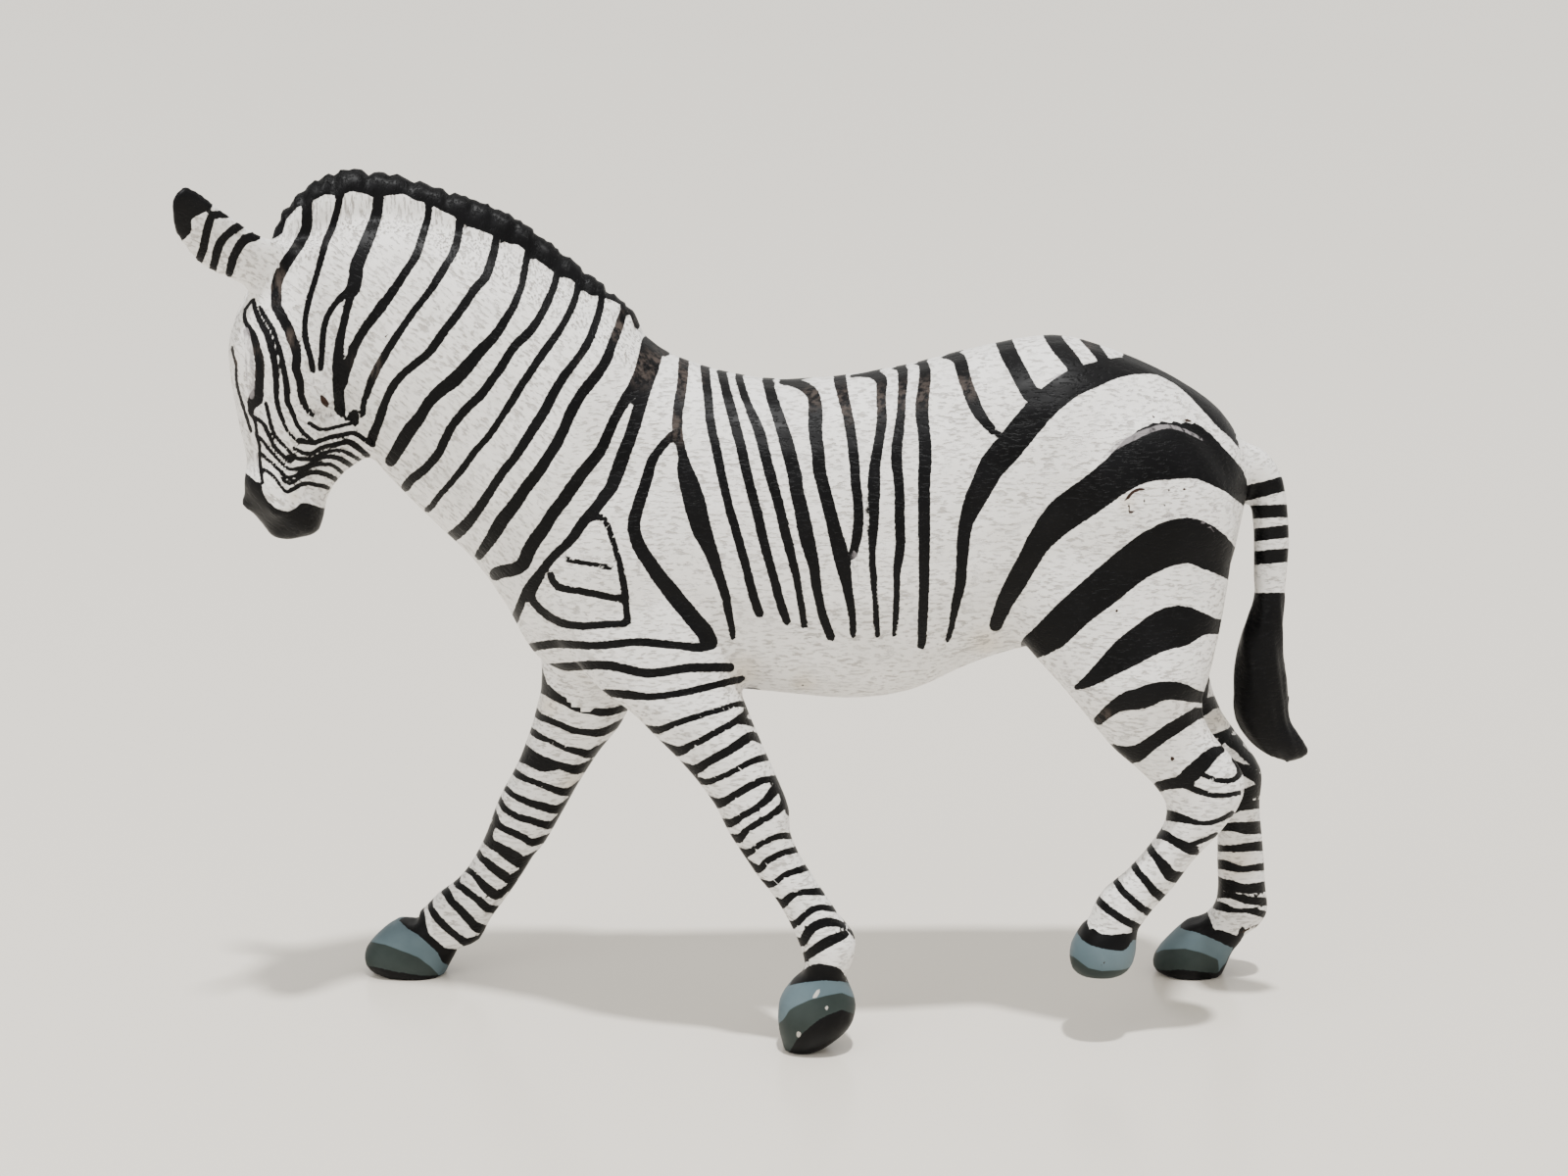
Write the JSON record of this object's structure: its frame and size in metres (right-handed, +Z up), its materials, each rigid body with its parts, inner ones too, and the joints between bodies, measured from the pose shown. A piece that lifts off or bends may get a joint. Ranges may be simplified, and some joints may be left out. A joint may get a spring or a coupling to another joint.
{
  "type": "zebra figurine",
  "caption": "Small moulded zebra figurine walking with its head turned to its left and lowered, painted with black stripes, standing on its hooves.",
  "frame": {"origin": "on the surface the figurine stands on, under the middle of its box", "axes": "+X from the head to the tail, -Y towards the animal's left side, +Z up"},
  "size_m": [0.1213, 0.0335, 0.0963],
  "materials": {
    "painted_coat": "satin off-white coat with painted black stripes and grey-green hooves"
  },
  "bodies": {
    "root": {"zebra": "painted_coat"}
  },
  "joints": []
}
